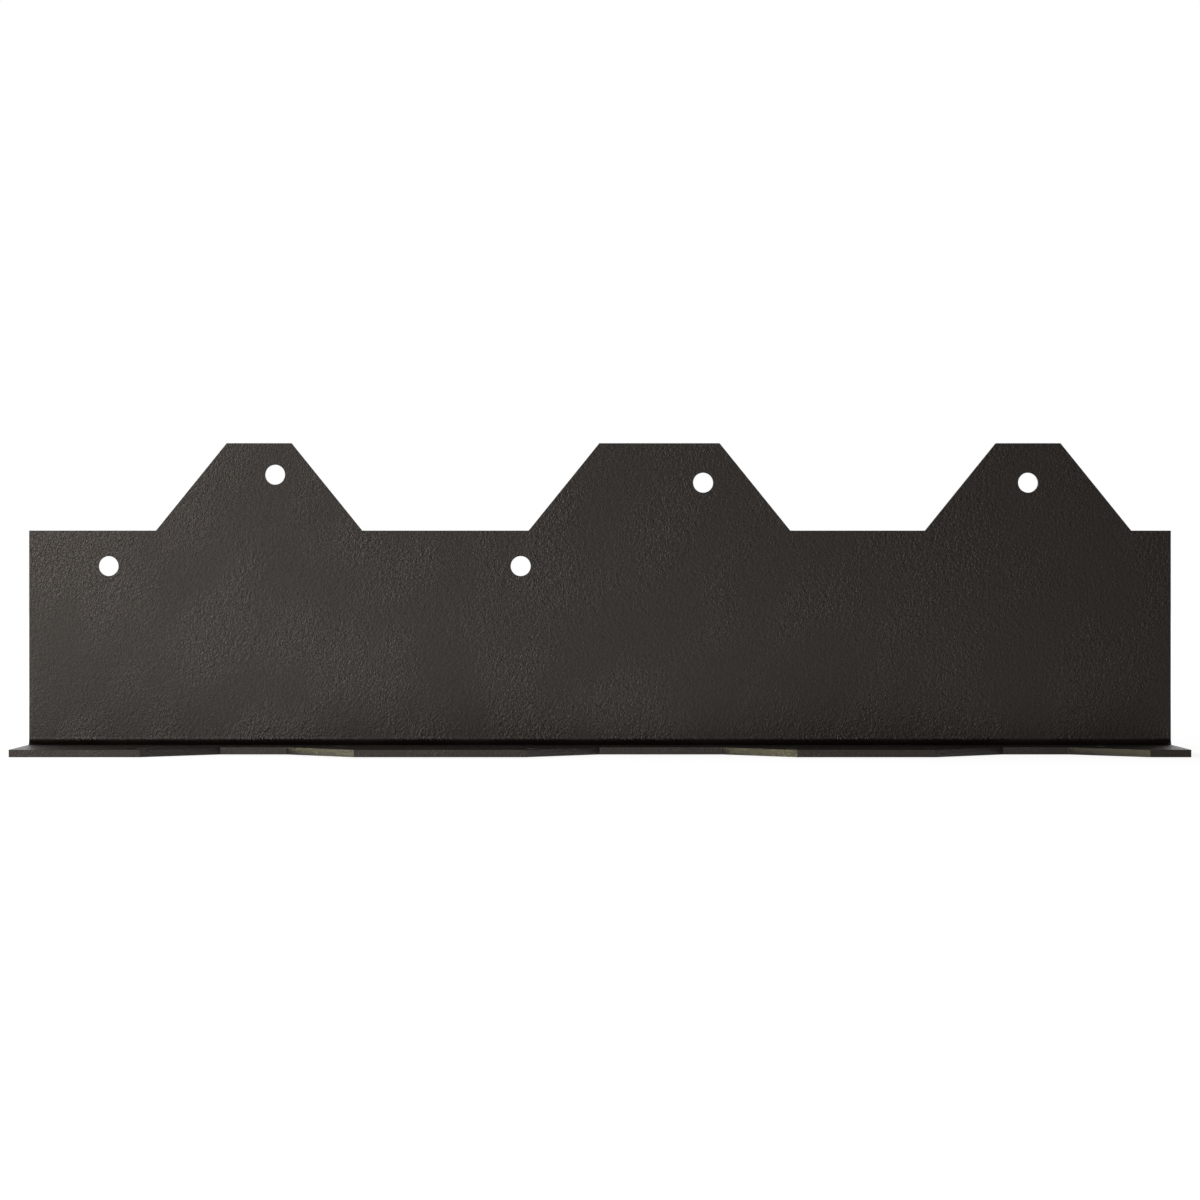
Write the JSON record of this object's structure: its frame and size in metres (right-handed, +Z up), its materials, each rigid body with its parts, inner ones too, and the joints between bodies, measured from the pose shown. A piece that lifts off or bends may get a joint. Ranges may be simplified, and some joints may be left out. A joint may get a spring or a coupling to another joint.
{
  "type": "reinforcing angle",
  "caption": "L-shaped folded steel angle for nailing timbers together at a right angle, with matching zig-zag tabs and notches along its outer edges and staggered nail holes.",
  "frame": {"origin": "middle of the bounding box's bottom: mid-length, midway between the upright's back face and the flange's front edge, on the underside", "axes": "+Z up the upright, +X along the length, -Y from the upright towards the flange's front edge, so the upright's back face looks along +Y"},
  "size_m": [0.2286, 0.0364, 0.0618],
  "materials": {
    "powder_coat": "fine-textured black powder coat over galvanised steel"
  },
  "bodies": {
    "root": {"reinforcing_angle": "powder_coat"}
  },
  "joints": []
}
